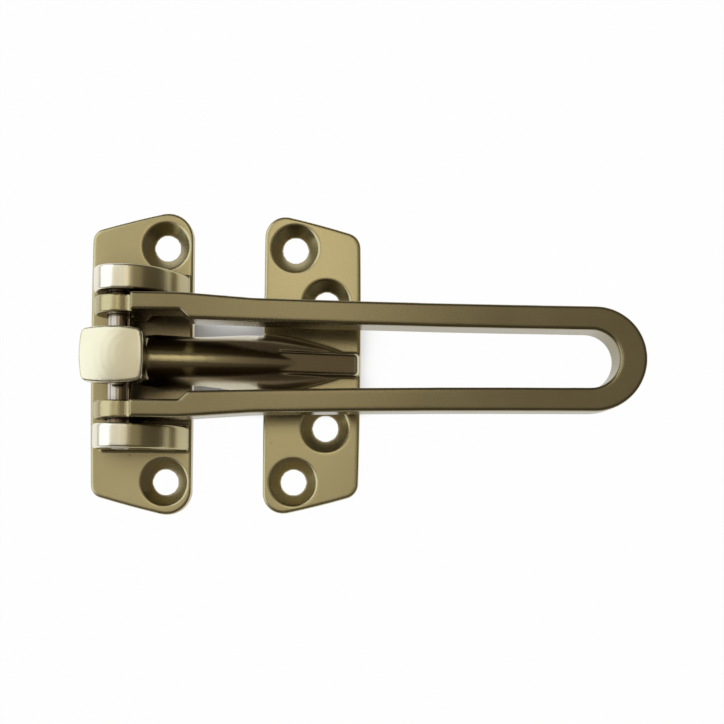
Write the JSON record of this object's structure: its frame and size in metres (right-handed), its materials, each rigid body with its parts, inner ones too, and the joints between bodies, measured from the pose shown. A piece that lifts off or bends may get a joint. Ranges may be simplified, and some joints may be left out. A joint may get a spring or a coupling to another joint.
{
  "type": "swing bar door guard",
  "caption": "Swing bar door guard: a long slotted bar hinged between the lugs of its plate locks over the cushion head of a cast arm on the opposite plate.",
  "frame": {"origin": "on the plane of both plates' backs, straight below the middle of the hinge pin", "axes": "+X from the hinge along the locked bar, +Y along the hinge pin, +Z away from the door and its frame"},
  "size_m": [0.1184, 0.0664, 0.0176],
  "materials": {
    "plate_metal": "satin, olive champagne tint",
    "bar_metal": "satin, olive champagne tint",
    "strike_metal": "satin, olive champagne tint",
    "pin_metal": "polished"
  },
  "bodies": {
    "hinge": {"hinge_plate": "plate_metal", "hinge_pin": "pin_metal"},
    "bar": {"swing_bar": "bar_metal"},
    "strike": {"strike": "strike_metal"}
  },
  "joints": [
    {"name": "bar_swing", "type": "hinge", "parent": "hinge", "child": "bar", "pos_m": [0, 0, 0.0097], "axis": [0, -1, 0], "range_deg": [0, 168]},
    {"name": "door_gap", "type": "slide", "parent": "hinge", "child": "strike", "axis": [1, 0, 0], "range_m": [0, 0.07]}
  ]
}
